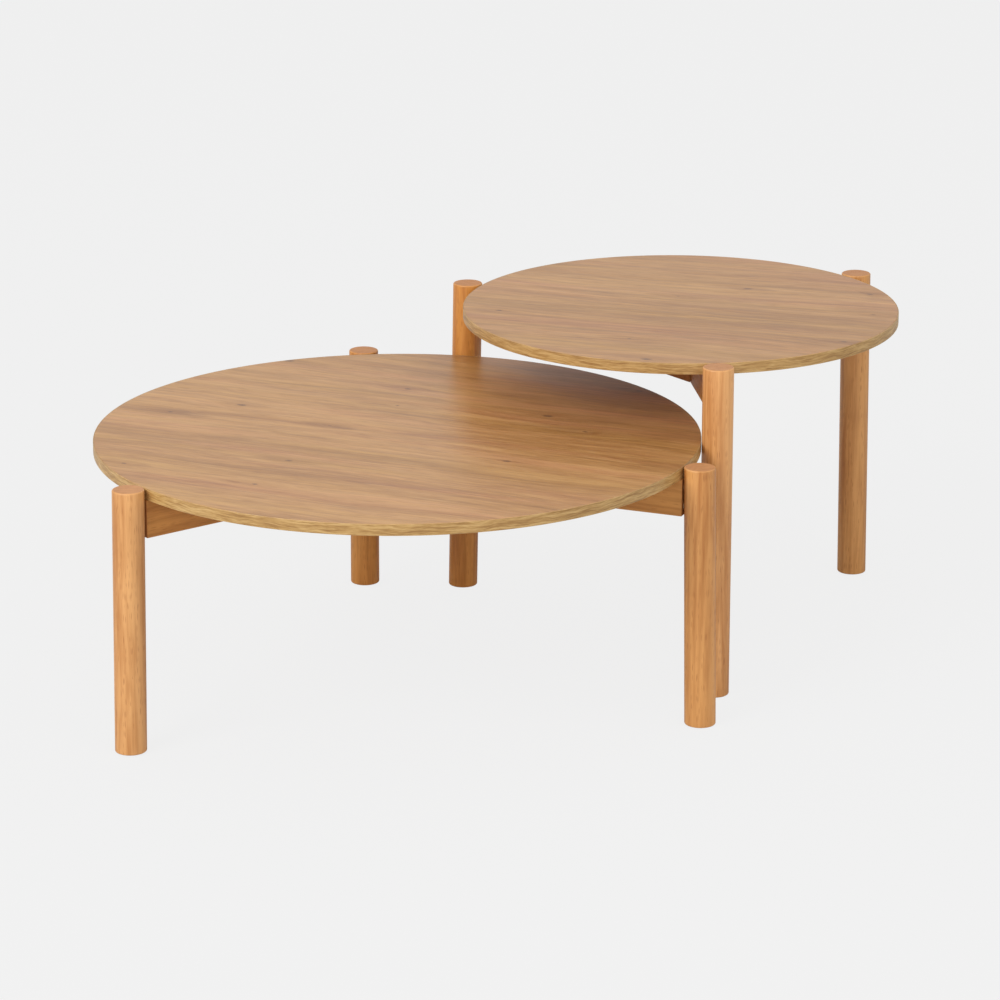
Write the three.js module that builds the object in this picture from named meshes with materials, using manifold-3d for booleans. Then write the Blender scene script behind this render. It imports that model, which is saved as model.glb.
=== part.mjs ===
// Two nesting coffee tables: a low large one and a taller small one whose top reaches over it.
// Each has a round laminated board, three round legs standing just outside its rim, three rails
// that run from the centre to the legs, and three braces between the rails.
// Millimetres, +Z up. +X runs from the large table to the small one, the way they pull apart.

import * as THREE from "three";
import { mergeVertices } from "three/addons/utils/BufferGeometryUtils.js";
import Module from "manifold-3d";

const wasm = await Module();
wasm.setup();

// ---------------------------------------------------------------- driving dimensions

const DEGREE = Math.PI / 180;
const GAP = 0.3; // between pieces that touch
const OVERRUN = 1; // how far a cutter runs past a face, and a blind hole past what it holds
const SPOKES = 3; // legs, rails and braces of each table
const SPOKE_ANGLE = 360 / SPOKES;

// One entry for each table: over-all sizes, and where its spokes point (degrees from +X).
const LARGE = { name: "large", topRadius: 400, height: 350, firstSpoke: 61.7, braceReach: 117 };
const SMALL = { name: "small", topRadius: 300, height: 450, firstSpoke: 0, braceReach: 88 };

const NEST_CLEARANCE = 0.7; // between the small table's legs and the large table's rim

const BOARD_THICKNESS = 15;
const BOARD_BELOW_LEG_TOP = 1; // the legs stand this much proud of the board's surface
const BAND_THICKNESS = 1;
const RIM_TO_LEG = 1; // air between the rim and a leg's top
const BOARD_SEGMENTS = 96;

const LEG_RADIUS = 20.5;
const LEG_LEAN = 0.0175; // outward travel of the foot for each unit of height
const LEG_CHAMFER = 1.5;
const LEG_SEGMENTS = 24;

const RAIL_HEIGHT = 50;
const RAIL_THICKNESS = 20;

const GLIDE = { radius: 14, thickness: 1.5, pinRadius: 1.5, pinLength: 14, segments: 16 };
const DOWEL = { radius: 4, length: 30, offset: 12.5, segments: 10 }; // offset from the rail's middle

// A screw's head sits at the bottom of a counterbore, counterbore deep in its rail or brace.
const RAIL_SCREW = {
  headRadius: 5.5,
  headHeight: 3.6,
  shankRadius: 3,
  intoBoard: 9,
  counterbore: 20,
  socketRadius: 2.3,
  socketDepth: 2.4,
  segments: 12,
};
const BRACE_SCREW = {
  headRadius: 4.2,
  headHeight: 2.6,
  shankRadius: 2,
  intoBoard: 10,
  counterbore: 22,
  socketRadius: 1.7,
  socketDepth: 1.6,
  segments: 12,
};
const RAIL_SCREW_FROM_RIM = 90;
const INSERT = { outerRadius: 5, innerRadius: 3.3, length: 10, segments: 12 };
const HOLE_CLEARANCE = 0.5; // more than a screw's own radius

// ---------------------------------------------------------------- materials

const finish = (color, roughness, metalness = 0) =>
  new THREE.MeshStandardMaterial({ color, roughness, metalness });

const OAK_LAMINATE = finish(0xc9a47c, 0.5);
const OAK_BANDING = finish(0xc8a468, 0.55);
const LEG_WOOD = finish(0xd99a5c, 0.5);
const RAIL_WOOD = finish(0xb87a44, 0.55);
const BEECH = finish(0xd8b88c, 0.7);
const STEEL = finish(0x9a9a9c, 0.35, 1);
const BRASS = finish(0xb5924c, 0.4, 1);
const NYLON = finish(0x2f2b28, 0.6);

// ---------------------------------------------------------------- shape helpers

const MERGE_TOLERANCE = 1e-4;

/** A closed geometry as a solid that can be cut. */
function toSolid(geometry) {
  const bare = new THREE.BufferGeometry();
  bare.setAttribute("position", geometry.getAttribute("position"));
  bare.setIndex(geometry.index);
  const merged = mergeVertices(bare, MERGE_TOLERANCE);
  const vertProperties = new Float32Array(merged.getAttribute("position").array);
  const triVerts = new Uint32Array(merged.index.array);
  return new wasm.Manifold(new wasm.Mesh({ numProp: 3, vertProperties, triVerts }));
}

/** The geometry with each cutter taken away. */
function cut(geometry, cutters) {
  const solid = cutters.reduce((left, cutter) => left.subtract(toSolid(cutter)), toSolid(geometry));
  const mesh = solid.getMesh();
  const result = new THREE.BufferGeometry();
  result.setAttribute("position", new THREE.BufferAttribute(mesh.vertProperties, 3));
  result.setIndex(new THREE.BufferAttribute(mesh.triVerts, 1));
  result.computeVertexNormals();
  return result;
}

/** A solid of revolution about Z from [radius, height] pairs, bottom first. */
function turned(profile, segments) {
  const points = profile.map(([radius, height]) => new THREE.Vector2(radius, height));
  return new THREE.LatheGeometry(points, segments).rotateX(Math.PI / 2);
}

/** An upright cylinder from one height to another. */
function upright(radius, bottom, top, segments) {
  const profile = [
    [0, bottom],
    [radius, bottom],
    [radius, top],
    [0, top],
  ];
  return turned(profile, segments);
}

/** A level cylinder along X, centred on (0, 0, 0). */
function level(radius, length, segments) {
  return upright(radius, -length / 2, length / 2, segments).rotateY(Math.PI / 2);
}

/** A plan outline raised from one height to another. */
function raised(outline, bottom, top) {
  const shape = new THREE.Shape(outline.map(([x, y]) => new THREE.Vector2(x, y)));
  const options = { depth: top - bottom, bevelEnabled: false };
  return new THREE.ExtrudeGeometry(shape, options).translate(0, 0, bottom);
}

/** Puts a named mesh into a group. */
function addPiece(group, name, geometry, material) {
  const mesh = new THREE.Mesh(geometry, material);
  mesh.name = name;
  group.add(mesh);
}

/** A group turned about Z, so that its +X points along a spoke or a bay. */
function turnedGroup(parent, degrees) {
  const group = new THREE.Group();
  group.rotation.z = degrees * DEGREE;
  parent.add(group);
  return group;
}

// ---------------------------------------------------------------- one table's levels and radii

/** The heights and radii that every piece of a table is placed by. */
function layout(table) {
  const boardTop = table.height - BOARD_BELOW_LEG_TOP;
  const boardBottom = boardTop - BOARD_THICKNESS;
  const railTop = boardBottom - GAP;
  const railBottom = railTop - RAIL_HEIGHT;
  const legAxis = table.topRadius + RIM_TO_LEG + LEG_RADIUS;
  const railEnd = legAxis - LEG_RADIUS - GAP + LEG_LEAN * (table.height - railTop);
  const railScrewAt = table.topRadius - RAIL_SCREW_FROM_RIM;
  const braceScrewAt = table.braceReach - RAIL_THICKNESS / 2;
  return {
    ...table,
    boardTop,
    boardBottom,
    railTop,
    railBottom,
    legAxis,
    railEnd,
    railScrewAt,
    braceScrewAt,
  };
}

/** The distance of a leg's axis from the table's centre at a height. */
function legAxisAt(at, height) {
  return at.legAxis + LEG_LEAN * (at.height - height);
}

// ---------------------------------------------------------------- top

/** The board: a disc with blind holes below for the inserts and the brace screws. */
function boardGeometry(at) {
  const core = at.topRadius - BAND_THICKNESS - GAP;
  const disc = upright(core, at.boardBottom, at.boardTop, BOARD_SEGMENTS);
  const holes = [];
  const drill = (radius, depth, distance, degrees, segments) => {
    const hole = upright(radius, at.boardBottom - OVERRUN, at.boardBottom + depth, segments);
    holes.push(hole.translate(distance, 0, 0).rotateZ(degrees * DEGREE));
  };
  const seat = INSERT.outerRadius + GAP;
  const pilot = BRACE_SCREW.shankRadius + GAP;
  const pilotDepth = BRACE_SCREW.intoBoard + OVERRUN;
  for (let i = 0; i < SPOKES; i++) {
    const spoke = at.firstSpoke + i * SPOKE_ANGLE;
    const bay = spoke + SPOKE_ANGLE / 2;
    drill(seat, INSERT.length + OVERRUN, at.railScrewAt, spoke, INSERT.segments);
    drill(pilot, pilotDepth, at.braceScrewAt, bay, BRACE_SCREW.segments);
  }
  return cut(disc, holes);
}

/** The edge band: a thin ring around the board. */
function bandGeometry(at) {
  const inner = at.topRadius - BAND_THICKNESS;
  const profile = [
    [inner, at.boardBottom],
    [at.topRadius, at.boardBottom],
    [at.topRadius, at.boardTop],
    [inner, at.boardTop],
    [inner, at.boardBottom],
  ];
  return turned(profile, BOARD_SEGMENTS);
}

// ---------------------------------------------------------------- one spoke, along +X

/** Level holes for the two dowels of a leg joint, wide enough for a gap all round. */
function dowelHoles(at) {
  const holeLength = DOWEL.length + 2 * GAP;
  return dowelHeights(at).map((height) =>
    level(DOWEL.radius + GAP, holeLength, DOWEL.segments).translate(at.railEnd, 0, height),
  );
}

/** The heights of the lower and the upper dowel of a leg joint. */
function dowelHeights(at) {
  const middle = at.railBottom + RAIL_HEIGHT / 2;
  return [middle - DOWEL.offset, middle + DOWEL.offset];
}

/** A leg: a round post, chamfered at both ends, leaning outwards towards its foot. */
function legGeometry(at) {
  const foot = GLIDE.thickness;
  const post = turned(
    [
      [0, foot],
      [LEG_RADIUS - LEG_CHAMFER, foot],
      [LEG_RADIUS, foot + LEG_CHAMFER],
      [LEG_RADIUS, at.height - LEG_CHAMFER],
      [LEG_RADIUS - LEG_CHAMFER, at.height],
      [0, at.height],
    ],
    LEG_SEGMENTS,
  );
  const lean = new THREE.Matrix4().makeShear(0, 0, 0, 0, -LEG_LEAN, 0);
  post.applyMatrix4(lean).translate(legAxisAt(at, 0), 0, 0);
  const pinTop = GLIDE.thickness + GLIDE.pinLength + GAP;
  const pinHole = upright(GLIDE.pinRadius + GAP, foot - OVERRUN, pinTop, GLIDE.segments);
  pinHole.translate(glideAxis(at), 0, 0);
  return cut(post, [...dowelHoles(at), pinHole]);
}

/** Where a glide is centred, under the leg's foot. */
function glideAxis(at) {
  return legAxisAt(at, GLIDE.thickness);
}

/** A glide: a nylon disc under the foot with a pin that is tapped into the leg. */
function glideGeometry(at) {
  const rim = GLIDE.thickness - GAP;
  const easing = 0.4;
  const profile = [
    [0, 0],
    [GLIDE.radius - easing, 0],
    [GLIDE.radius, easing],
    [GLIDE.radius, rim],
    [GLIDE.pinRadius, rim],
    [GLIDE.pinRadius, GLIDE.thickness + GLIDE.pinLength],
    [0, GLIDE.thickness + GLIDE.pinLength],
  ];
  return turned(profile, GLIDE.segments).translate(glideAxis(at), 0, 0);
}

/** A rail: pointed where the rails meet at the centre, square where it meets the leg. */
function railGeometry(at) {
  const half = RAIL_THICKNESS / 2;
  const tip = GAP;
  const shoulder = tip + half / Math.tan((SPOKE_ANGLE / 2) * DEGREE);
  const outline = [
    [tip, 0],
    [shoulder, -half],
    [at.railEnd, -half],
    [at.railEnd, half],
    [shoulder, half],
  ];
  const bar = raised(outline, at.railBottom, at.railTop);
  return cut(bar, [...dowelHoles(at), ...screwHoles(at, RAIL_SCREW, at.railScrewAt)]);
}

// ---------------------------------------------------------------- one bay, along +X

/** A brace: a bar across the bay, its ends cut to lie along the two rails. */
function braceGeometry(at) {
  const outer = at.braceReach;
  const inner = outer - RAIL_THICKNESS;
  const halfAngle = (SPOKE_ANGLE / 2) * DEGREE;
  const railFace = RAIL_THICKNESS / 2 + GAP;
  const halfWidthAt = (x) => x * Math.tan(halfAngle) - railFace / Math.cos(halfAngle);
  const outline = [
    [inner, -halfWidthAt(inner)],
    [outer, -halfWidthAt(outer)],
    [outer, halfWidthAt(outer)],
    [inner, halfWidthAt(inner)],
  ];
  const bar = raised(outline, at.railBottom, at.railTop);
  return cut(bar, screwHoles(at, BRACE_SCREW, at.braceScrewAt));
}

// ---------------------------------------------------------------- screws, inserts and dowels

/** The counterbore from below and the clearance hole above it. */
function screwHoles(at, screw, distance) {
  const seat = at.railBottom + screw.counterbore;
  const wide = screw.headRadius + HOLE_CLEARANCE;
  const narrow = screw.shankRadius + HOLE_CLEARANCE;
  const counterbore = upright(wide, at.railBottom - OVERRUN, seat, screw.segments);
  const clearance = upright(narrow, seat - OVERRUN, at.railTop + OVERRUN, screw.segments);
  return [counterbore.translate(distance, 0, 0), clearance.translate(distance, 0, 0)];
}

/** A screw with its head down and a hexagonal socket in the head. */
function screwGeometry(at, screw, distance) {
  const headTop = at.railBottom + screw.counterbore - GAP;
  const headBottom = headTop - screw.headHeight;
  const tip = at.boardBottom + screw.intoBoard;
  const tipTaper = screw.shankRadius / 2;
  const profile = [
    [0, headBottom],
    [screw.headRadius, headBottom],
    [screw.headRadius, headTop],
    [screw.shankRadius, headTop],
    [screw.shankRadius, tip - tipTaper],
    [screw.shankRadius - tipTaper, tip],
    [0, tip],
  ];
  const body = turned(profile, screw.segments);
  const hexagonSides = 6;
  const socketTop = headBottom + screw.socketDepth;
  const socket = upright(screw.socketRadius, headBottom - OVERRUN, socketTop, hexagonSides);
  return cut(body, [socket]).translate(distance, 0, 0);
}

/** A threaded insert in the board: a short tube. */
function insertGeometry(at) {
  const bottom = at.boardBottom;
  const top = bottom + INSERT.length;
  const profile = [
    [INSERT.innerRadius, bottom],
    [INSERT.outerRadius, bottom],
    [INSERT.outerRadius, top],
    [INSERT.innerRadius, top],
    [INSERT.innerRadius, bottom],
  ];
  return turned(profile, INSERT.segments).translate(at.railScrewAt, 0, 0);
}

/** A leg-joint dowel, half in the rail and half in the leg. */
function dowelGeometry(at, height) {
  return level(DOWEL.radius, DOWEL.length, DOWEL.segments).translate(at.railEnd, 0, height);
}

// ---------------------------------------------------------------- a whole table

function buildTable(table) {
  const at = layout(table);
  const group = new THREE.Group();
  const named = (piece, number) => `${table.name}_${piece}_${number}`;

  addPiece(group, `${table.name}_top_board`, boardGeometry(at), OAK_LAMINATE);
  addPiece(group, `${table.name}_edge_band`, bandGeometry(at), OAK_BANDING);

  for (let i = 0; i < SPOKES; i++) {
    const number = i + 1;
    const spokeAngle = table.firstSpoke + i * SPOKE_ANGLE;
    const [lowerDowel, upperDowel] = dowelHeights(at);

    const spoke = turnedGroup(group, spokeAngle);
    const railScrew = screwGeometry(at, RAIL_SCREW, at.railScrewAt);
    addPiece(spoke, named("leg", number), legGeometry(at), LEG_WOOD);
    addPiece(spoke, named("rail", number), railGeometry(at), RAIL_WOOD);
    addPiece(spoke, named("foot_glide", number), glideGeometry(at), NYLON);
    addPiece(spoke, named("lower_dowel", number), dowelGeometry(at, lowerDowel), BEECH);
    addPiece(spoke, named("upper_dowel", number), dowelGeometry(at, upperDowel), BEECH);
    addPiece(spoke, named("rail_screw", number), railScrew, STEEL);
    addPiece(spoke, named("top_insert", number), insertGeometry(at), BRASS);

    const bay = turnedGroup(group, spokeAngle + SPOKE_ANGLE / 2);
    const braceScrew = screwGeometry(at, BRACE_SCREW, at.braceScrewAt);
    addPiece(bay, named("brace", number), braceGeometry(at), RAIL_WOOD);
    addPiece(bay, named("brace_screw", number), braceScrew, STEEL);
  }
  return group;
}

// ---------------------------------------------------------------- the nest

/**
 * How far the small table's centre stands from the large one's when two of its legs meet the
 * large table's rim. Those legs point half a spoke angle either side of the large table.
 */
function nestDistance() {
  const large = layout(LARGE);
  const small = layout(SMALL);
  const legRadius = legAxisAt(small, large.boardBottom);
  const legBack = legRadius * Math.cos((SPOKE_ANGLE / 2) * DEGREE);
  const legSide = legRadius * Math.sin((SPOKE_ANGLE / 2) * DEGREE);
  const reach = large.topRadius + LEG_RADIUS + NEST_CLEARANCE;
  return legBack + Math.sqrt(reach ** 2 - legSide ** 2);
}

const largeTable = buildTable(LARGE);
const smallTable = buildTable(SMALL);
smallTable.position.x = nestDistance();

const nest = new THREE.Group();
nest.add(largeTable, smallTable);

// The origin is the middle of the nest's box, on the floor.
const middle = new THREE.Box3().setFromObject(nest, true).getCenter(new THREE.Vector3());
nest.position.set(-middle.x, -middle.y, 0);

export default nest;
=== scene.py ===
"""Two round nesting tables: oak laminate boards with an oak edge band, round hardwood legs that
stand just outside the rim, rails from the centre to the legs, and braces between the rails.
Every piece is rebuilt with fine edges where its CAD node says, and wears a procedural material.
Metres, +Z up; +X runs from the large table to the small one."""

import math

import bmesh
import bpy
import numpy as np
from mathutils import Matrix, Vector


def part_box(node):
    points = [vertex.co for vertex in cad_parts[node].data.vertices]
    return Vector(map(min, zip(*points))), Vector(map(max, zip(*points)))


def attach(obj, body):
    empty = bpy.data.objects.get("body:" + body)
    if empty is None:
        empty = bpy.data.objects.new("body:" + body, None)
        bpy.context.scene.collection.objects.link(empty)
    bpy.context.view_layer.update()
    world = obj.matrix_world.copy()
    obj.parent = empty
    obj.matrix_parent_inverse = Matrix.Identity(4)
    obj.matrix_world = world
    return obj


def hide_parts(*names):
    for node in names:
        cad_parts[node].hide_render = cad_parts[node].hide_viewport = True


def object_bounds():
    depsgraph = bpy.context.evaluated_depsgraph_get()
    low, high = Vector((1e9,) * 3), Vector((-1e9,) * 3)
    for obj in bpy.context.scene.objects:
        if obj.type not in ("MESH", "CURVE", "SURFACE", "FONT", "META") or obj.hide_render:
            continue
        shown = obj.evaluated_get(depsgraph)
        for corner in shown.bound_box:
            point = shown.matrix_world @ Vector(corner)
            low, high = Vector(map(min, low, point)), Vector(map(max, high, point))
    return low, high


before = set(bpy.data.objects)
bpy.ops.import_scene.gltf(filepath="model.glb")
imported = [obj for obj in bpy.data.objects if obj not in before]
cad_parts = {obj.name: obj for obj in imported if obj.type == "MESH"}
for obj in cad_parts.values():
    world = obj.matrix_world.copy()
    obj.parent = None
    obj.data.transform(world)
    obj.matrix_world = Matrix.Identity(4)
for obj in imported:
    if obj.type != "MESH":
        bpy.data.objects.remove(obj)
CAD_LOW, CAD_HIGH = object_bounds()

# ---------------------------------------------------------------- sizes that the frame doesn't hold

MM = 0.001
TABLES = ("large", "small")
SPOKES = (1, 2, 3)
BAY_TURN = math.radians(60)  # from a spoke to the bay after it

BOARD_EASE = 0.25 * MM
BAND_EASE = 0.55 * MM
BAND_THICKNESS = 1.0 * MM
BAND_SEAM = 0.08 * MM  # between the band and the board it is glued to
BOARD_SEGMENTS = 288
LEG_ROUND_OVER = 2.0 * MM
LEG_SEGMENTS = 112
LEG_RINGS = 10
RAIL_EASE = 1.0 * MM
FINE_SEGMENTS = 48
CORNER_STEPS = 6  # steps in a quarter round
FLAT_MARGIN = {"board": 4 * MM, "leg": 1 * MM}  # plain ring between a round-over and the flat face

GLIDE_EASE = 0.45 * MM
GLIDE_PIN_FILLET = 0.5 * MM
GLIDE_PIN_POINT = 3 * MM
HEAD_LIMIT = 5 * MM  # a screw's head and a glide's disc are both thinner than this
HEAD_DOME = 1.2 * MM
THREAD_PITCH = 1.0 * MM
THREAD_ROOT = 0.91  # of the shank's radius
THREAD_START = 6 * MM  # plain shank under the head
HOLE_END_ROOM = 0.3 * MM  # past the head, in a counterbore
HOLE_SIDE_ROOM = 0.5 * MM
HOLE_CUT_BELOW = 40 * MM  # how far under the head the cutter starts
INSERT_EASE = 0.3 * MM
DOWEL_CHAMFER = 1.2 * MM
DOWEL_FLUTES = 14
FLUTE_STEPS = 8
FLUTE_DEPTH = 0.045  # of the dowel's radius

# Where each board's grain points, from +X.
GRAIN_ANGLE = {"large": math.radians(121.7), "small": math.radians(125.0)}
BOARD_STRETCH = Vector((1.73, 0.94, 0))  # from the large board's place in the laminate to the small's

# From one blank's place in the wood to the next one's, so that no two pieces show the same grain.
LEG_BLANK_STEP = 0.63
LEG_BLANK_TURN = 1.9  # radians
BAR_BLANK_ALONG = 0.47  # for each number
BAR_BLANK_ACROSS = 0.06
BAR_BLANK_DOWN = 0.09  # for each table

BAR_TONE = -0.1  # see mark_tone_and_shade
BAR_TONE_SWING = 0.2
BAR_TONE_TURN = 2.4  # radians for each number


# ---------------------------------------------------------------- reading the frame


def vertices_of(node):
    """A CAD node's vertices at rest, as rows."""
    return np.array([v.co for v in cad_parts[node].data.vertices], float)


def flat(point):
    """The point's place in plan."""
    return Vector((point[0], point[1], 0))


def table_layout(name):
    """A table's centre, rim, board levels and the angle of each spoke, from its CAD nodes."""
    low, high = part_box(f"{name}_edge_band")
    centre = flat((low + high) / 2)
    spokes = {}
    for number in SPOKES:
        glide_low, glide_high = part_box(f"{name}_foot_glide_{number}")
        outwards = flat((glide_low + glide_high) / 2) - centre
        spokes[number] = math.atan2(outwards.y, outwards.x)
    return {
        "name": name,
        "body": f"{name}_table",
        "centre": centre,
        "radius": (high.x - low.x) / 2,
        "bottom": low.z,
        "top": high.z,
        "spokes": spokes,
    }


def turned_frame(table, angle):
    """The matrix whose +X points from the table's centre along an angle."""
    return Matrix.Translation(table["centre"]) @ Matrix.Rotation(angle, 4, "Z")


def local_vertices(node, matrix):
    """A CAD node's vertices in the frame of a matrix."""
    inverse = np.array(matrix.inverted())
    return vertices_of(node) @ inverse[:3, :3].T + inverse[:3, 3]


# ---------------------------------------------------------------- mesh helpers


def finished_mesh(bm, sharp_degrees=40):
    """A bmesh as a mesh with smooth shading between its sharp edges."""
    bmesh.ops.recalc_face_normals(bm, faces=bm.faces)
    mesh = bpy.data.meshes.new("piece")
    bm.to_mesh(mesh)
    bm.free()
    mesh.shade_smooth()
    mesh.set_sharp_from_angle(angle=math.radians(sharp_degrees))
    return mesh


def mark_wear(mesh, wear):
    """Stores how worn each vertex is, from 0 on the faces to 1 on the arrises."""
    layer = mesh.attributes.new("wear", "FLOAT", "POINT")
    layer.data.foreach_set("value", np.asarray(wear, np.float32))


def lathe(profile, segments, lean=0.0, lobes=None):
    """A solid of revolution from (radius, height, wear) rows, bottom first, radius 0 at both ends.
    lean moves a ring along +X for each unit of height; lobes(angle) scales the radii."""
    bm = bmesh.new()
    rings = []
    wear = []
    for radius, height, worn in profile:
        shift = lean * height
        if radius == 0:
            rings.append([bm.verts.new((shift, 0, height))])
        else:
            ring = []
            for k in range(segments):
                angle = 2 * math.pi * k / segments
                reach = radius * (lobes(angle) if lobes else 1)
                point = (shift + reach * math.cos(angle), reach * math.sin(angle), height)
                ring.append(bm.verts.new(point))
            rings.append(ring)
        wear.extend([worn] * len(rings[-1]))
    for lower, upper in zip(rings, rings[1:]):
        for k in range(segments):
            n = (k + 1) % segments
            if len(lower) == 1:
                bm.faces.new((lower[0], upper[k], upper[n]))
            elif len(upper) == 1:
                bm.faces.new((lower[k], lower[n], upper[0]))
            else:
                bm.faces.new((lower[k], lower[n], upper[n], upper[k]))
    mesh = finished_mesh(bm)
    mark_wear(mesh, wear)
    return mesh


def quarter_round(radius, height, ease, upper):
    """Profile rows, bottom first, of a round-over whose arris would be at (radius, height). It is
    worn in its middle."""
    rows = []
    for k in range(CORNER_STEPS + 1):
        share = k / CORNER_STEPS
        turn = share * math.pi / 2
        worn = math.sin(share * math.pi)
        closing = ease * (1 - math.sin(turn))
        opening = ease * (1 - math.cos(turn))
        if upper:
            rows.append((radius - opening, height - closing, worn))
        else:
            rows.append((radius - closing, height + opening, worn))
    return rows


def ring_strip(inner, outer, bottom, top, ease, segments):
    """A closed ring of rectangular section with rounded arrises."""
    section = []
    corners = ((outer, bottom, 1, -1), (outer, top, 1, 1), (inner, top, -1, 1), (inner, bottom, -1, -1))
    for turn, (radius, height, out, up) in enumerate(corners):
        centre_r = radius - out * ease
        centre_h = height - up * ease
        for k in range(CORNER_STEPS + 1):
            share = k / CORNER_STEPS
            angle = (turn - 1 + share) * math.pi / 2
            row = (centre_r + ease * math.cos(angle), centre_h + ease * math.sin(angle))
            section.append((*row, math.sin(share * math.pi)))
    bm = bmesh.new()
    rings = []
    for k in range(segments):
        angle = 2 * math.pi * k / segments
        cos, sin = math.cos(angle), math.sin(angle)
        rings.append([bm.verts.new((r * cos, r * sin, h)) for r, h, _ in section])
    for k in range(segments):
        here, there = rings[k], rings[(k + 1) % segments]
        for j in range(len(section)):
            n = (j + 1) % len(section)
            bm.faces.new((here[j], there[j], there[n], here[n]))
    mesh = finished_mesh(bm, sharp_degrees=60)
    mark_wear(mesh, [worn for _, _, worn in section] * segments)
    return mesh


def cut_mesh(mesh, cutter, sharp_degrees=40):
    """The mesh less a cutter."""
    blank = bpy.data.objects.new("blank", mesh)
    tool = bpy.data.objects.new("tool", cutter)
    for part in (blank, tool):
        bpy.context.scene.collection.objects.link(part)
    modifier = blank.modifiers.new("cut", "BOOLEAN")
    modifier.operation = "DIFFERENCE"
    modifier.solver = "EXACT"
    modifier.object = tool
    evaluated = blank.evaluated_get(bpy.context.evaluated_depsgraph_get())
    result = bpy.data.meshes.new_from_object(evaluated)
    for part in (blank, tool):
        bpy.data.objects.remove(part)
    result.shade_smooth()
    result.set_sharp_from_angle(angle=math.radians(sharp_degrees))
    return result


def into_place(mesh, matrix, grain):
    """Stores each vertex's place in the wood as "grain", whose +X the fibres follow, and then moves
    the mesh from its own frame to the tables' frame."""
    points = np.empty(len(mesh.vertices) * 3, np.float32)
    mesh.vertices.foreach_get("co", points)
    rotation, shift = np.array(grain.to_3x3()), np.array(grain.translation)
    within = points.reshape(-1, 3) @ rotation.T + shift
    layer = mesh.attributes.new("grain", "FLOAT_VECTOR", "POINT")
    layer.data.foreach_set("vector", within.astype(np.float32).ravel())
    mesh.transform(matrix)


def mark_ends(mesh, axis, reach=0.2 * MM):
    """Marks the vertices on a blank's two end faces, where its end grain shows."""
    points = np.array([v.co[axis] for v in mesh.vertices])
    ends = (points < points.min() + reach) | (points > points.max() - reach)
    layer = mesh.attributes.new("end", "FLOAT", "POINT")
    layer.data.foreach_set("value", ends.astype(np.float32))


def mark_tone_and_shade(mesh, tone):
    """Says how pale (1) or dark and red (-1) a piece is painted: on the legs mostly painted light and
    shade, on the bars and dowels the wood's own tone.
    """
    layer = mesh.attributes.new("tone", "FLOAT", "POINT")
    layer.data.foreach_set("value", np.full(len(mesh.vertices), tone, np.float32))


def small_face_wear(mesh, largest):
    """Marks as worn the vertices that only small faces meet: those inside a rounded arris."""
    wear = np.ones(len(mesh.vertices), np.float32)
    for polygon in mesh.polygons:
        if polygon.area > largest:
            wear[list(polygon.vertices)] = 0
    mark_wear(mesh, wear)


def prism(outline, bottom, top, ease, cutter):
    """A plan outline raised from bottom to top with rounded arrises, less a cutter."""
    bm = bmesh.new()
    lower = [bm.verts.new((x, y, bottom)) for x, y in outline]
    upper = [bm.verts.new((x, y, top)) for x, y in outline]
    bm.faces.new(lower)
    bm.faces.new(upper)
    for k in range(len(outline)):
        n = (k + 1) % len(outline)
        bm.faces.new((lower[k], lower[n], upper[n], upper[k]))
    bmesh.ops.recalc_face_normals(bm, faces=bm.faces)
    edges = list(bm.edges)
    bmesh.ops.bevel(bm, geom=edges, offset=ease, segments=4, profile=0.5, affect="EDGES")
    mesh = cut_mesh(finished_mesh(bm), cutter)
    small_face_wear(mesh, largest=2 * ease * (top - bottom))
    return mesh


def plain_cylinder(radius, bottom, top, at=(0, 0), segments=FINE_SEGMENTS):
    """A cylinder used as a cutter."""
    mesh = lathe([(0, bottom, 0), (radius, bottom, 0), (radius, top, 0), (0, top, 0)], segments)
    mesh.transform(Matrix.Translation((*at, 0)))
    return mesh


def add_piece(name, mesh, material, table, node):
    """Shows a piece on its table's body instead of its CAD node."""
    full_name = f"{table['name']}_{name}"
    mesh.name = full_name
    piece = bpy.data.objects.new(full_name, mesh)
    bpy.context.scene.collection.objects.link(piece)
    mesh.materials.clear()
    mesh.materials.append(MATERIALS[material])
    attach(piece, table["body"])
    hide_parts(f"{table['name']}_{node}")


# ---------------------------------------------------------------- material helpers


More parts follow.
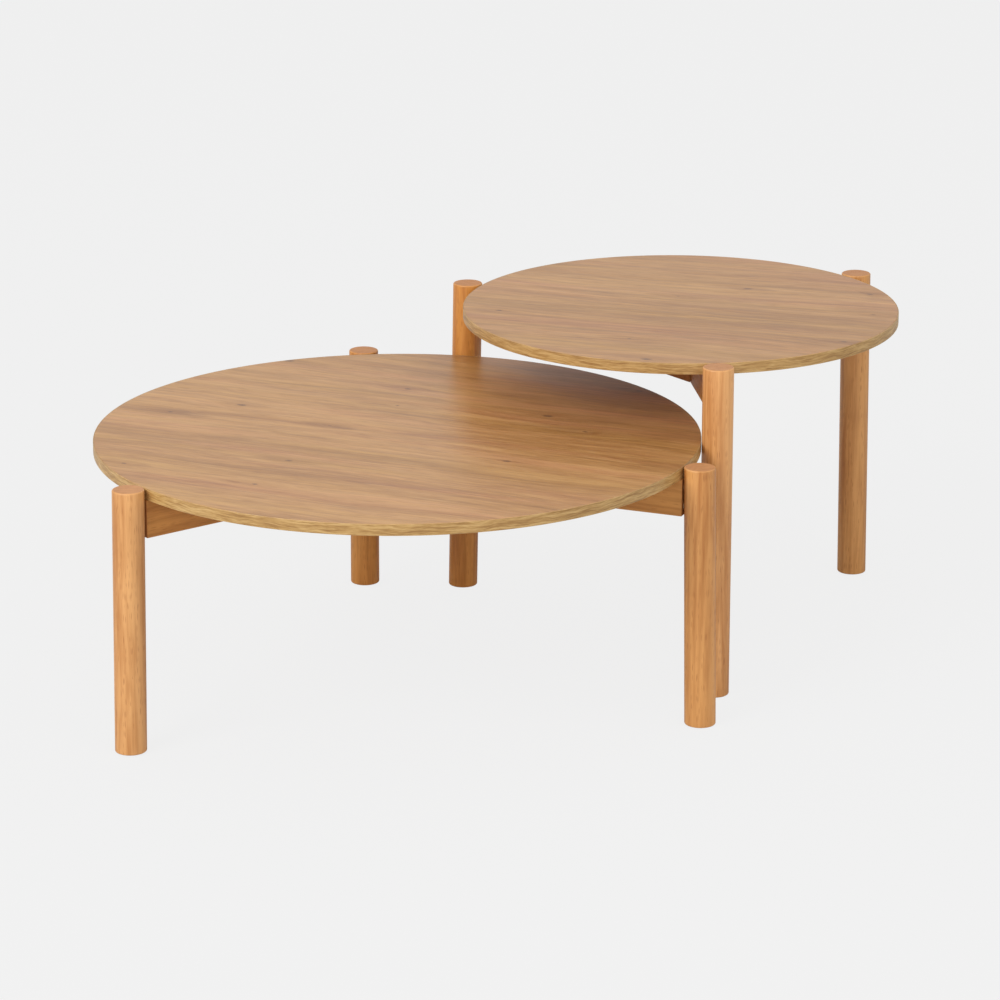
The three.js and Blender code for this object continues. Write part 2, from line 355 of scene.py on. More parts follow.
class Shader:
    """A material's node tree, with a short call for each kind of node used here. Any number or
    colour may be given as a constant or as another node's output."""

    def __init__(self, name):
        self.material = bpy.data.materials.new(name)
        self.material.use_nodes = True
        self.tree = self.material.node_tree
        self.surface = self.tree.nodes["Principled BSDF"]

    def node(self, kind, inputs=(), **settings):
        made = self.tree.nodes.new(kind)
        for key, value in settings.items():
            setattr(made, key, value)
        for key, value in dict(inputs).items():
            self.feed(made.inputs[key], value)
        return made

    def feed(self, socket, value):
        if isinstance(value, bpy.types.NodeSocket):
            self.tree.links.new(value, socket)
        elif hasattr(value, "__len__") and socket.type == "RGBA":
            socket.default_value = (*value, 1)
        else:
            socket.default_value = value

    def grain(self):
        """The place in the wood: along the fibres, and two ways across them."""
        return self.split(self.node("ShaderNodeAttribute", attribute_name="grain").outputs["Vector"])

    def attribute(self, name):
        return self.node("ShaderNodeAttribute", attribute_name=name).outputs["Fac"]

    def math(self, operation, a, b=0.0):
        made = self.node("ShaderNodeMath", operation=operation)
        self.feed(made.inputs[0], a)
        self.feed(made.inputs[1], b)
        return made.outputs[0]

    def total(self, *terms):
        """The sum of values, each given with its weight."""
        result = 0.0
        for value, weight in terms:
            result = self.math("ADD", result, self.math("MULTIPLY", value, weight))
        return result

    def split(self, vector):
        made = self.node("ShaderNodeSeparateXYZ", {"Vector": vector})
        return made.outputs[0], made.outputs[1], made.outputs[2]

    def join(self, values, scales=(1, 1, 1)):
        """A vector of three values, each scaled."""
        made = self.node("ShaderNodeCombineXYZ")
        for socket, value, scale in zip(made.inputs, values, scales):
            self.feed(socket, self.math("MULTIPLY", value, scale))
        return made.outputs[0]

    def noise(self, values, scales, detail=2.0, roughness=0.55):
        """Noise from about 0.2 to 0.8, in blotches of one over each scale."""
        settings = {
            "Vector": self.join(values, scales),
            "Scale": 1.0,
            "Detail": detail,
            "Roughness": roughness,
        }
        return self.node("ShaderNodeTexNoise", settings, noise_dimensions="3D").outputs["Fac"]

    def cells(self, values, scales, randomness=1.0):
        """The nearest of points scattered one over each scale apart: its distance, three random
        numbers of its own, and its place in scaled values."""
        settings = {"Vector": self.join(values, scales), "Scale": 1.0, "Randomness": randomness}
        made = self.node("ShaderNodeTexVoronoi", settings)
        return made.outputs["Distance"], self.split(made.outputs["Color"]), made.outputs["Position"]

    def fade(self, value, start, end):
        """0 where value is at start, 1 where it is at end, and smooth between."""
        settings = {"Value": value, "From Min": start, "From Max": end}
        made = self.node("ShaderNodeMapRange", settings, interpolation_type="SMOOTHSTEP")
        return made.outputs["Result"]

    def spread(self, value, start, end, low, high):
        """value from start to end, as low to high."""
        settings = {"Value": value, "From Min": start, "From Max": end, "To Min": low, "To Max": high}
        return self.node("ShaderNodeMapRange", settings).outputs["Result"]

    def ramp(self, value, *stops):
        """A colour that follows value from stop to stop, each a place and a colour."""
        made = self.node("ShaderNodeValToRGB", {"Fac": value})
        elements = made.color_ramp.elements
        while len(elements) < len(stops):
            elements.new(0.5)
        for element, (place, color) in zip(elements, stops):
            element.position = place
            element.color = (*color, 1)
        return made.outputs["Color"]

    def mix(self, share, a, b, blend="MIX"):
        made = self.node("ShaderNodeMix", data_type="RGBA", blend_type=blend)
        self.feed(made.inputs[0], share)
        self.feed(made.inputs[6], a)
        self.feed(made.inputs[7], b)
        return made.outputs[2]

    def shade(self, color, share, tint):
        """The colour multiplied by a tint where share is 1."""
        return self.mix(share, color, tint, blend="MULTIPLY")

    def bump(self, height, depth):
        """Bump of a real depth in metres for a height from 0 to 1."""
        settings = {"Height": height, "Distance": depth, "Strength": 1.0}
        return self.node("ShaderNodeBump", settings).outputs["Normal"]

    def finish(self, color, roughness, normal, **constants):
        self.feed(self.surface.inputs["Base Color"], color)
        self.feed(self.surface.inputs["Roughness"], roughness)
        self.feed(self.surface.inputs["Normal"], normal)
        for name, value in constants.items():
            self.surface.inputs[name.replace("_", " ")].default_value = value
        return self.material


# ---------------------------------------------------------------- woods

KNOTS_ALONG = 4.2  # cells to the metre, along and across the grain
KNOTS_ACROSS = 8.0
KNOT_SHARE = 0.50  # of the cells hold a knot
KNOT_SCATTER = 0.85
KNOT_RADII = (0.0022, 0.0066)
KNOT_LENGTH = 1.7  # times its width
KNOT_RAGGED = 0.0055  # how far its outline wanders
SWING = 0.75  # how far the grain swings aside, as a share of its distance from the knot
SWING_ALONG = 0.055  # how far from a knot the grain still swings
SWING_ACROSS = 0.015


def knots(s, along, across):
    """Small oval knots: how much of one is here, and how far the grain swings aside for it."""
    scales = (KNOTS_ALONG, KNOTS_ACROSS, 1)
    _, (chosen, size, _), place = s.cells((along, across, 0), scales, KNOT_SCATTER)
    place_along, place_across, _ = s.split(place)
    off_along = s.math("SUBTRACT", along, s.math("DIVIDE", place_along, KNOTS_ALONG))
    off_across = s.math("SUBTRACT", across, s.math("DIVIDE", place_across, KNOTS_ACROSS))
    here = s.math("LESS_THAN", chosen, KNOT_SHARE)

    spread = s.total(
        (s.math("POWER", s.math("DIVIDE", off_along, SWING_ALONG), 2), 1),
        (s.math("POWER", s.math("DIVIDE", off_across, SWING_ACROSS), 2), 1),
    )
    bulge = s.math("MULTIPLY", s.math("EXPONENT", s.math("MULTIPLY", spread, -1)), here)
    swing = s.math("MULTIPLY", s.math("MULTIPLY", off_across, bulge), SWING)

    oval = s.math("POWER", s.math("DIVIDE", off_along, KNOT_LENGTH), 2)
    distance = s.math("SQRT", s.math("ADD", oval, s.math("POWER", off_across, 2)))
    ragged = s.noise((along, across, 0), (170, 420, 1), detail=3)
    distance = s.total((distance, 1), (s.math("SUBTRACT", ragged, 0.5), KNOT_RAGGED))
    radius = s.spread(size, 0, 1, *KNOT_RADII)
    dark = s.math("SUBTRACT", 1, s.fade(distance, s.math("MULTIPLY", radius, 0.25), radius))
    return s.math("MULTIPLY", dark, here), bulge, swing


def oak_laminate():
    """Printed oak: soft broad bands that shift from yellow to pink, narrow streaks, fine fibre,
    dark ticks, pale lines and a few small knots."""
    s = Shader("oak_laminate")
    along, across, level = s.grain()
    wave = s.math("SUBTRACT", s.noise((along, across, level), (1.3, 4.0, 1)), 0.5)
    ripple = s.math("SUBTRACT", s.noise((along, across, level), (7.0, 26.0, 1)), 0.5)
    knot, bulge, swing = knots(s, along, across)
    lane = s.total((across, 1), (wave, 0.085), (ripple, 0.010), (swing, -1))
    place = (along, lane, level)

    broad = s.noise(place, (1.1, 17, 1))
    bands = s.noise(place, (2.6, 62, 1), detail=3)
    streaks = s.noise(place, (9, 155, 1), detail=3)
    fine = s.noise(place, (22, 360, 1), detail=3)
    fibre = s.noise(place, (60, 1100, 1))
    tone = s.total((broad, 0.25), (bands, 0.22), (streaks, 0.22), (fine, 0.19), (fibre, 0.12))
    color = s.ramp(
        s.fade(tone, 0.375, 0.625),
        (0.00, (0.330, 0.150, 0.044)),
        (0.30, (0.412, 0.196, 0.061)),
        (0.55, (0.472, 0.234, 0.077)),
        (1.00, (0.595, 0.320, 0.115)),
    )

    hue = s.noise((along, lane, 3.7), (1.5, 21, 1))
    color = s.shade(color, s.fade(hue, 0.50, 0.68), (1.02, 0.95, 1.06))
    color = s.shade(color, s.fade(hue, 0.50, 0.32), (1.00, 1.02, 0.92))

    ticks = s.fade(s.noise((along, lane, 5.3), (30, 360, 1)), 0.56, 0.70)
    pale = s.fade(s.noise((along, lane, 9.1), (9, 240, 1)), 0.58, 0.72)
    color = s.shade(color, s.math("MULTIPLY", ticks, 0.62), (0.76, 0.67, 0.56))
    color = s.mix(s.math("MULTIPLY", pale, 0.40), color, (0.680, 0.400, 0.165))
    color = s.shade(color, s.math("MULTIPLY", s.fade(bulge, 0.25, 0.95), 0.55), (0.74, 0.66, 0.58))
    color = s.mix(s.math("MULTIPLY", knot, 0.80), color, (0.135, 0.058, 0.023))
    color = s.mix(s.math("MULTIPLY", s.attribute("wear"), 0.25), color, (0.620, 0.380, 0.170))

    relief = s.total((fibre, 0.4), (ticks, -0.6))
    roughness = s.spread(streaks, 0.25, 0.75, 0.32, 0.40)
    return s.finish(color, roughness, s.bump(relief, 0.00004), Specular_IOR_Level=0.70)


def oak_band():
    """Oak edge band: wavy dark and pale streaks that run round the rim."""
    s = Shader("oak_band")
    x, y, level = s.grain()
    wave = s.math("SUBTRACT", s.noise((x, y, 0), (20, 20, 1)), 0.5)
    place = (x, y, s.total((level, 1), (wave, 0.010)))
    broad = s.noise(place, (13, 13, 210))
    fine = s.noise(place, (30, 30, 700), detail=3)
    fibre = s.noise(place, (110, 110, 1900), detail=1)
    tone = s.total((broad, 0.30), (fine, 0.46), (fibre, 0.24))
    lines = s.fade(s.noise(place, (26, 26, 560)), 0.55, 0.68)
    color = s.ramp(
        s.fade(tone, 0.36, 0.62),
        (0.00, (0.300, 0.155, 0.044)),
        (0.35, (0.395, 0.220, 0.068)),
        (0.60, (0.465, 0.274, 0.092)),
        (1.00, (0.580, 0.375, 0.150)),
    )
    color = s.shade(color, s.math("MULTIPLY", lines, 0.60), (0.66, 0.56, 0.44))
    color = s.mix(s.math("MULTIPLY", s.attribute("wear"), 0.35), color, (0.700, 0.480, 0.240))
    return s.finish(color, s.spread(fine, 0.3, 0.7, 0.36, 0.46), s.bump(fine, 0.00008))


# On the legs these casts are painted shade (red cast) and painted light (pale cast); on the bars, the
# wood's own tone.
RED_TONE_AND_SHADE_CAST = (0.95, 0.79, 0.46)  # the tints of a piece whose tone is -1, and 1
PALE_TONE_AND_LIGHT_CAST = (1.10, 1.10, 1.14)
RING_TINT = (0.824, 0.780, 0.736)  # of the dark rings on an end face
HEART = (0.044, 0.019)  # the rings' centre, from the piece's own axis
RING_RATE = 700  # radians of the rings' wave to the metre


def hardwood(name, paler, darker, pore, end_grain, gloss=0.5):
    """Solid close-grained hardwood: faint wandering rings, streaks and short open pores. Each
    piece's own "tone" moves it between a paler and a darker piece of the same wood; on the legs
    the tone is mostly painted light and shade, paler where lit and darker and redder in shade."""
    s = Shader(name)
    along, a, b = s.grain()
    end_face = s.attribute("end")

    # growth rings about a heart outside the piece, tilted a little so that they run out in arcs
    wander = s.math("SUBTRACT", s.noise((along, a, b), (4.5, 30, 30), detail=3), 0.5)
    squares = s.total(
        (s.math("POWER", s.math("ADD", a, HEART[0]), 2), 1),
        (s.math("POWER", s.math("ADD", b, HEART[1]), 2), 1),
    )
    depth = s.total((s.math("SQRT", squares), 1), (along, 0.022), (wander, 0.034))
    rings = s.total((s.math("SINE", s.math("MULTIPLY", depth, RING_RATE)), 0.5), (1.0, 0.5))

    broad = s.noise((along, a, b), (3.5, 48, 48))
    fine = s.noise((along, a, b), (11, 260, 260), detail=3)
    fibre = s.noise((along, a, b), (45, 1200, 1200))
    distance, (chosen, _, _), _ = s.cells((along, a, b), (70, 900, 900))
    is_open = s.math("LESS_THAN", chosen, s.spread(rings, 0.3, 1, 0.04, 0.42))
    pores = s.math("MULTIPLY", s.fade(distance, 0.50, 0.15), is_open)

    figure = s.total((broad, 0.50), (fine, 0.24), (rings, 0.06), (fibre, 0.12), (1.0, 0.04))
    middle = [(p + d) / 2 for p, d in zip(paler, darker)]
    color = s.ramp(s.fade(figure, 0.33, 0.63), (0.0, darker), (0.5, middle), (1.0, paler))
    # Tone casts: painted shade and painted light on the legs, the wood's own tone on the bars.
    tone = s.attribute("tone")
    color = s.shade(color, s.spread(tone, 0, -1, 0, 1), RED_TONE_AND_SHADE_CAST)
    color = s.shade(color, s.spread(tone, 0, 1, 0, 1), PALE_TONE_AND_LIGHT_CAST)
    color = s.mix(s.math("MULTIPLY", end_face, 0.75), color, end_grain)
    color = s.shade(color, s.math("MULTIPLY", s.math("MULTIPLY", end_face, rings), 0.6), RING_TINT)
    color = s.shade(color, s.math("MULTIPLY", pores, 0.70), pore)
    color = s.mix(s.math("MULTIPLY", s.attribute("wear"), 0.35), color, paler)

    relief = s.total((fibre, 0.35), (pores, -0.65))
    roughness = s.total((s.spread(fine, 0.25, 0.75, 0.36, 0.46), 1), (end_face, 0.14))
    return s.finish(color, roughness, s.bump(relief, 0.00008), Specular_IOR_Level=gloss)


# ---------------------------------------------------------------- metal and plastic


def turned_metal(name, color, dark, roughness):
    """Plated or bare metal with turning marks, a little dulled."""
    s = Shader(name)
    place = s.grain()
    marks = s.noise(place, (900, 900, 6000))
    dull = s.noise(place, (160, 160, 160), detail=3)
    tint = s.mix(s.spread(dull, 0.35, 0.75, 0.0, 0.6), color, dark)
    tint = s.mix(s.math("MULTIPLY", s.attribute("wear"), 0.4), tint, color)
    rough = s.spread(dull, 0.3, 0.7, roughness, roughness + 0.15)
    return s.finish(tint, rough, s.bump(marks, 0.00002), Metallic=1.0)


def moulded_nylon():
    """Dark moulded nylon with a fine spark-eroded texture, scuffed at its edge."""
    s = Shader("moulded_nylon")
    place = s.grain()
    grit = s.noise(place, (2600, 2600, 2600))
    scuff = s.noise(place, (240, 240, 240), detail=3)
    color = s.mix(s.spread(scuff, 0.4, 0.8, 0.0, 0.5), (0.030, 0.027, 0.025), (0.085, 0.078, 0.070))
    color = s.mix(s.math("MULTIPLY", s.attribute("wear"), 0.4), color, (0.120, 0.112, 0.100))
    return s.finish(color, s.spread(grit, 0.3, 0.7, 0.42, 0.58), s.bump(grit, 0.00003))


MATERIALS = {
    "oak_laminate": oak_laminate(),
    "oak_banding": oak_band(),
    "leg_wood": hardwood(
        "leg_hardwood",
        paler=(0.700, 0.360, 0.130),
        darker=(0.430, 0.170, 0.042),
        pore=(0.60, 0.46, 0.34),
        end_grain=(0.545, 0.250, 0.105),
    ),
    # A darker, redder copy of the leg wood: painted shade for the rails and braces that stand in the
    # tops' shadow.
    "rail_wood": hardwood(
        "rail_hardwood_painted_shade",
        paler=(0.600, 0.275, 0.070),
        darker=(0.370, 0.140, 0.026),
        pore=(0.62, 0.48, 0.36),
        end_grain=(0.420, 0.180, 0.070),
        gloss=0.3,
    ),
    "dowel_wood": hardwood(
        "dowel_beech",
        paler=(0.700, 0.490, 0.300),
        darker=(0.480, 0.300, 0.160),
        pore=(0.70, 0.58, 0.48),
        end_grain=(0.500, 0.330, 0.190),
    ),
    "screw_steel": turned_metal("zinc_steel", (0.56, 0.57, 0.58), (0.36, 0.36, 0.36), 0.28),
    "insert_brass": turned_metal("brass", (0.78, 0.57, 0.25), (0.46, 0.30, 0.11), 0.30),
    "glide_nylon": moulded_nylon(),
}

# How pale (1) or dark and red (-1) each leg is painted: mostly painted light and shade, darkest and
# reddest on the legs in the tops' shadow, palest on the lit front legs.
LEG_PAINTED_SHADE_TONES = {"large": {1: -1.0, 2: 0.5, 3: -0.4}, "small": {1: -0.35, 2: -1.0, 3: 1.0}}

STRAIGHT = Matrix.Identity(4)  # grain along a blank's own X
UPRIGHT = Matrix.Rotation(math.pi / 2, 4, "Y")  # grain along a blank's own Z
SIDEWAYS = Matrix.Rotation(-math.pi / 2, 4, "Z")  # grain along a blank's own Y


# ---------------------------------------------------------------- the top


def add_board(table):
    """The laminated board: a disc with crisp, slightly eased arrises. Each table's is cut from
    another stretch of the laminate."""
    radius = table["radius"] - BAND_THICKNESS - BAND_SEAM
    bottom, top = table["bottom"], table["top"]
    inner = radius - FLAT_MARGIN["board"]
    profile = [(0, bottom, 0), (inner, bottom, 0)]
    profile += quarter_round(radius, bottom, BOARD_EASE, upper=False)
    profile += quarter_round(radius, top, BOARD_EASE, upper=True)
    profile += [(inner, top, 0), (0, top, 0)]
    mesh = lathe(profile, BOARD_SEGMENTS)
    stretch = Matrix.Translation(TABLES.index(table["name"]) * BOARD_STRETCH)
    grain = stretch @ Matrix.Rotation(-GRAIN_ANGLE[table["name"]], 4, "Z")
    into_place(mesh, turned_frame(table, 0), grain)
    add_piece("laminated_board", mesh, "oak_laminate", table, "top_board")


def add_band(table):
    """The edge band, glued round the board."""
    outer = table["radius"]
    inner = outer - BAND_THICKNESS
    mesh = ring_strip(inner, outer, table["bottom"], table["top"], BAND_EASE, BOARD_SEGMENTS)
    into_place(mesh, turned_frame(table, 0), STRAIGHT)
    add_piece("banding_strip", mesh, "oak_banding", table, "edge_band")


# ---------------------------------------------------------------- a spoke's pieces


def leg_measures(node):
    """A leg's foot centre, top centre and radius."""
    points = vertices_of(node)
    heights = points[:, 2]
    foot = points[heights < heights.min() + 0.1 * MM]
    head = points[heights > heights.max() - 0.1 * MM]
    foot_centre = Vector((foot.min(0) + foot.max(0)) / 2)
    head_centre = Vector((head.min(0) + head.max(0)) / 2)
    share = (heights - foot_centre.z) / (head_centre.z - foot_centre.z)
    axis = np.outer(1 - share, foot_centre) + np.outer(share, head_centre)
    radius = np.linalg.norm((points - axis)[:, :2], axis=1).max()
    return foot_centre, head_centre, radius


def add_leg(table, number):
    """A round leg that leans outwards, with a rounded top and foot. Each is turned about and cut
    from another stretch of the wood, so that no two look alike."""
    foot, head, radius = leg_measures(f"{table['name']}_leg_{number}")
    height = head.z - foot.z
    lean = flat(foot - head).length / height
    ease = LEG_ROUND_OVER
    inner = radius - ease - FLAT_MARGIN["leg"]
    rows = [(0, 0, 0), (radius * 0.5, 0, 0), (inner, 0, 0)]
    rows += quarter_round(radius, 0, ease, upper=False)
    for k in range(1, LEG_RINGS):
        rows.append((radius, ease + (height - 2 * ease) * k / LEG_RINGS, 0))
    rows += quarter_round(radius, height, ease, upper=True)
    rows += [(inner, height, 0), (radius * 0.5, height, 0), (0, height, 0)]
    mesh = lathe(rows, LEG_SEGMENTS, lean=-lean)
    mark_ends(mesh, axis=2)
    # The leg's tone is mostly painted light and shade.
    mark_tone_and_shade(mesh, LEG_PAINTED_SHADE_TONES[table["name"]][number])
    order = TABLES.index(table["name"]) * len(SPOKES) + number
    stretch = Matrix.Translation((0, 0, order * LEG_BLANK_STEP))
    blank = stretch @ Matrix.Rotation(order * LEG_BLANK_TURN, 4, "Z")
    spoke = Matrix.Rotation(table["spokes"][number], 4, "Z")
    into_place(mesh, Matrix.Translation(foot) @ spoke, UPRIGHT @ blank)
    add_piece(f"round_leg_{number}", mesh, "leg_wood", table, f"leg_{number}")


def screw_hole(node, matrix):
    """A counterbore from below, wide enough for the screw's head, and up to its seat."""
    points = local_vertices(node, matrix)
    low, high = points.min(0), points.max(0)
    seat = low[2] + head_height(points) + HOLE_END_ROOM
    at = ((low[0] + high[0]) / 2, (low[1] + high[1]) / 2)
    reach = (high[0] - low[0]) / 2 + HOLE_SIDE_ROOM
    return plain_cylinder(reach, low[2] - HOLE_CUT_BELOW, seat, at)


def head_height(points):
    """The height of a screw's head or a glide's disc."""
    heights = points[:, 2] - points[:, 2].min()
    return heights[heights < HEAD_LIMIT].max()


def bar(table, kind, number, angle, outline_of, grain):
    """A flat bar on edge between two heights, with a counterbored screw hole from below.
    outline_of gives its plan from its CAD node's own vertices."""
    node = f"{kind}_{number}"
    matrix = turned_frame(table, angle)
    points = local_vertices(f"{table['name']}_{node}", matrix)
    hole = screw_hole(f"{table['name']}_{kind}_screw_{number}", matrix)
    bottom, top = points[:, 2].min(), points[:, 2].max()
    mesh = prism(outline_of(points), bottom, top, RAIL_EASE, hole)
    mark_ends(mesh, axis=0)
    order = TABLES.index(table["name"])
    mark_tone_and_shade(mesh, BAR_TONE_SWING * math.sin(number * BAR_TONE_TURN + order) + BAR_TONE)
    along, across, down = BAR_BLANK_ALONG * number, BAR_BLANK_ACROSS * number, BAR_BLANK_DOWN * order
    blank = Matrix.Translation((along, across, down))
    into_place(mesh, matrix, blank @ grain)
    # The rails and braces wear the rail wood, whose darker colour is painted shade.
    add_piece(f"wooden_{kind}_{number}", mesh, "rail_wood", table, node)


def rail_outline(points):
    """Pointed at the centre, where the three rails meet, and square at the leg."""
    low, high = points.min(0), points.max(0)
    half = (high[1] - low[1]) / 2
    shoulder = low[0] + half / math.tan(BAY_TURN)
    return [(low[0], 0), (shoulder, -half), (high[0], -half), (high[0], half), (shoulder, half)]


def brace_outline(points):
    """A trapezium, its ends cut to lie along the two rails."""
    outline = []
    for distance, sides in ((points[:, 0].min(), (-1, 1)), (points[:, 0].max(), (1, -1))):
        on_face = np.abs(points[:, 0] - distance) < 0.5 * MM
        reach = np.abs(points[on_face][:, 1]).max()
        outline += [(distance, side * reach) for side in sides]
    return outline


def add_rail(table, number):
    bar(table, "rail", number, table["spokes"][number], rail_outline, STRAIGHT)


def add_brace(table, number):
    bar(table, "brace", number, table["spokes"][number] + BAY_TURN, brace_outline, SIDEWAYS)


# ---------------------------------------------------------------- glides and hardware


def upright_measures(node):
    """The vertices of a CAD node that stands on its own axis, with its foot and size."""
    points = vertices_of(node)
    low, high = points.min(0), points.max(0)
    foot = Vector(((low[0] + high[0]) / 2, (low[1] + high[1]) / 2, low[2]))
    return points, foot, (high[0] - low[0]) / 2, high[2] - low[2]


def tip_radius(points, reach=0.1 * MM):
    """How wide a node is at its very top."""
    tip = points[points[:, 2] > points[:, 2].max() - reach]
    return (tip[:, 0].max() - tip[:, 0].min()) / 2


def add_glide(table, number):
    """A nylon glide: a disc with a rounded edge and a pin tapped into the leg."""
    node = f"foot_glide_{number}"
    points, foot, radius, length = upright_measures(f"{table['name']}_{node}")
    thickness = head_height(points)
    pin = tip_radius(points)
    rows = [(0, 0, 0), (radius * 0.7, 0, 0)]
    rows += quarter_round(radius, 0, GLIDE_EASE, upper=False)
    rows += quarter_round(radius, thickness, GLIDE_EASE * 0.6, upper=True)
    rows += [(pin * 1.3, thickness, 0), (pin, thickness + GLIDE_PIN_FILLET, 0)]
    rows += [(pin, length - GLIDE_PIN_POINT, 0), (pin * 0.35, length, 0), (0, length, 0)]
    mesh = lathe(rows, FINE_SEGMENTS)
    into_place(mesh, Matrix.Translation(foot), STRAIGHT)
    add_piece(f"nylon_glide_{number}", mesh, "glide_nylon", table, node)


def add_screw(table, kind, number):
    """A screw from below: a domed head with a hexagonal socket, and a threaded shank."""
    node = f"{kind}_screw_{number}"
    points, foot, head, length = upright_measures(f"{table['name']}_{node}")
    seat = head_height(points)
    shank = tip_radius(points, reach=4 * MM)
    rows = [(0, 0, 0)]
    rows += quarter_round(head, 0, HEAD_DOME, upper=False)
    rows += [(head, seat, 0.5), (shank, seat, 0)]
    root = shank * THREAD_ROOT
    height = seat + THREAD_START
    while height < length - 2 * THREAD_PITCH:
        rows += [(shank, height, 1), (root, height + THREAD_PITCH / 2, 0)]
        height += THREAD_PITCH
    rows += [(root, length - THREAD_PITCH, 0), (shank * 0.55, length, 0), (0, length, 0)]
    mesh = lathe(rows, FINE_SEGMENTS)
    socket = plain_cylinder(head * 0.42, -1 * MM, seat * 0.65, segments=6)
    mesh = cut_mesh(mesh, socket, sharp_degrees=30)
    into_place(mesh, Matrix.Translation(foot), STRAIGHT)
    add_piece(f"{kind}_bolt_{number}", mesh, "screw_steel", table, node)


def add_insert(table, number):
    """A threaded insert in the board."""
    node = f"top_insert_{number}"
    points, foot, outer, length = upright_measures(f"{table['name']}_{node}")
    bore = np.linalg.norm(points[:, :2] - np.array(foot)[:2], axis=1).min()
    mesh = ring_strip(bore, outer, 0, length, INSERT_EASE, FINE_SEGMENTS)
    into_place(mesh, Matrix.Translation(foot), STRAIGHT)
    add_piece(f"threaded_insert_{number}", mesh, "insert_brass", table, node)


def add_dowel(table, level, number):
    """A fluted dowel with chamfered ends, lying along its spoke."""
    node = f"{level}_dowel_{number}"
    spoke = turned_frame(table, table["spokes"][number])
    points = local_vertices(f"{table['name']}_{node}", spoke)
    low, high = points.min(0), points.max(0)
    radius = (high[2] - low[2]) / 2
    length = high[0] - low[0]
    tip = radius - DOWEL_CHAMFER * 0.6
    rows = [(0, 0, 0), (tip, 0, 0), (radius, DOWEL_CHAMFER, 0)]
    rows += [(radius, length - DOWEL_CHAMFER, 0), (tip, length, 0), (0, length, 0)]

    def fluted(angle):
        return 1 - FLUTE_DEPTH * abs(math.sin(DOWEL_FLUTES * angle / 2)) ** 0.5

    mesh = lathe(rows, DOWEL_FLUTES * FLUTE_STEPS, lobes=fluted)
    mark_ends(mesh, axis=2)
    mark_tone_and_shade(mesh, 0)
    place = Matrix.Translation((low[0], (low[1] + high[1]) / 2, (low[2] + high[2]) / 2))
    into_place(mesh, spoke @ place @ UPRIGHT, UPRIGHT)
    add_piece(f"{level}_peg_{number}", mesh, "dowel_wood", table, node)


for table_name in TABLES:
    layout = table_layout(table_name)
    add_board(layout)
    add_band(layout)
    for spoke_number in SPOKES:
        add_leg(layout, spoke_number)
        add_rail(layout, spoke_number)
        add_brace(layout, spoke_number)
        add_glide(layout, spoke_number)
        add_screw(layout, "rail", spoke_number)
        add_screw(layout, "brace", spoke_number)
        add_insert(layout, spoke_number)
        add_dowel(layout, "lower", spoke_number)
        add_dowel(layout, "upper", spoke_number)


# ---------------------------------------------------------------- floor, light and camera

FLOOR_HALF = 40.0
FLOOR_COLOR = (0.66, 0.66, 0.66)  # where light and shadow fall on it
FLOOR_EVEN_SHARE = 0.94  # of what the camera sees of it is evenly bright
PALE = 0.888  # that even brightness, and the backdrop's
WORLD_STRENGTH = 0.79


def add_floor():
    """A plain pale floor. The camera sees it mostly evenly lit, so that its shadows stay faint."""
    s = Shader("pale_floor")
    s.feed(s.surface.inputs["Base Color"], FLOOR_COLOR)
    s.feed(s.surface.inputs["Roughness"], 0.9)
    s.feed(s.surface.inputs["Specular IOR Level"], 0.0)
    even = s.node("ShaderNodeEmission", {"Color": (PALE, PALE, PALE), "Strength": 1.0})
    seen = s.node("ShaderNodeLightPath").outputs["Is Camera Ray"]
    blend = s.node("ShaderNodeMixShader")
    s.feed(blend.inputs[0], s.math("MULTIPLY", seen, FLOOR_EVEN_SHARE))
    s.feed(blend.inputs[1], s.surface.outputs[0])
    s.feed(blend.inputs[2], even.outputs[0])
    s.feed(s.tree.nodes["Material Output"].inputs["Surface"], blend.outputs[0])
    bm = bmesh.new()
    bmesh.ops.create_grid(bm, x_segments=1, y_segments=1, size=FLOOR_HALF)
    mesh = bpy.data.meshes.new("floor")
    bm.to_mesh(mesh)
    bm.free()
    floor = bpy.data.objects.new("floor", mesh)
    mesh.materials.append(s.material)
    floor.location.z = CAD_LOW.z
    bpy.context.scene.collection.objects.link(floor)


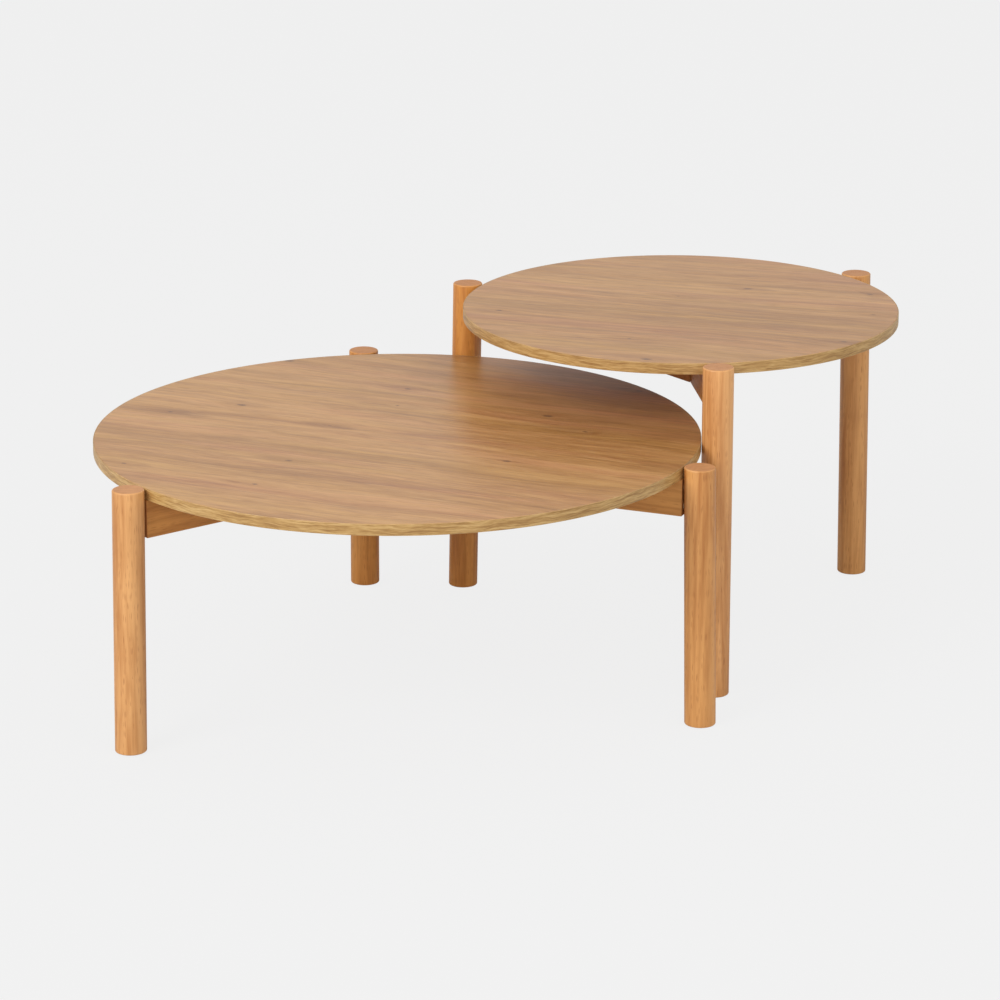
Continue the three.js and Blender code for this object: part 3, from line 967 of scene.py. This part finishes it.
def add_world():
    """A white room: even light from all round."""
    world = bpy.data.worlds.new("white_room")
    world.use_nodes = True
    background = world.node_tree.nodes["Background"]
    background.inputs["Color"].default_value = (PALE, PALE, PALE, 1)
    background.inputs["Strength"].default_value = WORLD_STRENGTH
    bpy.context.scene.world = world


def add_softbox(name, azimuth, elevation, distance, size, power):
    """A square soft light that faces the tables. Azimuth is where it stands, in degrees from +X."""
    data = bpy.data.lights.new(name, "AREA")
    data.shape = "SQUARE"
    data.size = size
    data.energy = power
    light = bpy.data.objects.new(name, data)
    a, e = math.radians(azimuth), math.radians(elevation)
    stand = Vector((math.cos(a) * math.cos(e), math.sin(a) * math.cos(e), math.sin(e)))
    light.rotation_mode = "QUATERNION"
    light.rotation_quaternion = stand.to_track_quat("Z", "Y")
    light.location = stand * distance
    bpy.context.scene.collection.objects.link(light)


# The camera looks from the front left, over the large table.
CAMERA_TURN = math.radians(-34.80)  # from the tables' +X to the camera's own
CAMERA_BACK = 4.9445  # from the large table's centre
CAMERA_HEIGHT = 1.7896
CAMERA_YAW = 0.02731  # radians, as the next two are
CAMERA_PITCH = 0.30079
CAMERA_ROLL = 0.00198
CAMERA_LENS = 140.54  # in millimetres, as the sensor is
CAMERA_SENSOR = 36


def add_camera():
    data = bpy.data.cameras.new("camera")
    data.lens = CAMERA_LENS
    data.sensor_width = CAMERA_SENSOR
    data.clip_end = 200
    camera = bpy.data.objects.new("camera", data)
    centre = table_layout("large")["centre"]
    plan = Matrix.Translation(centre) @ Matrix.Rotation(CAMERA_TURN, 4, "Z")
    place = Matrix.Translation((0, -CAMERA_BACK, CAMERA_HEIGHT))
    turn = Matrix.Rotation(-CAMERA_YAW, 4, "Z") @ Matrix.Rotation(math.pi / 2 - CAMERA_PITCH, 4, "X")
    camera.matrix_world = plan @ place @ turn @ Matrix.Rotation(CAMERA_ROLL, 4, "Z")
    bpy.context.scene.collection.objects.link(camera)
    bpy.context.scene.camera = camera


add_floor()
add_world()
add_softbox("key_light", azimuth=192, elevation=34, distance=6.0, size=2.6, power=192)
add_softbox("fill_light", azimuth=272, elevation=34, distance=2.8, size=1.8, power=11)
add_camera()
bpy.context.scene.view_settings.view_transform = "Standard"
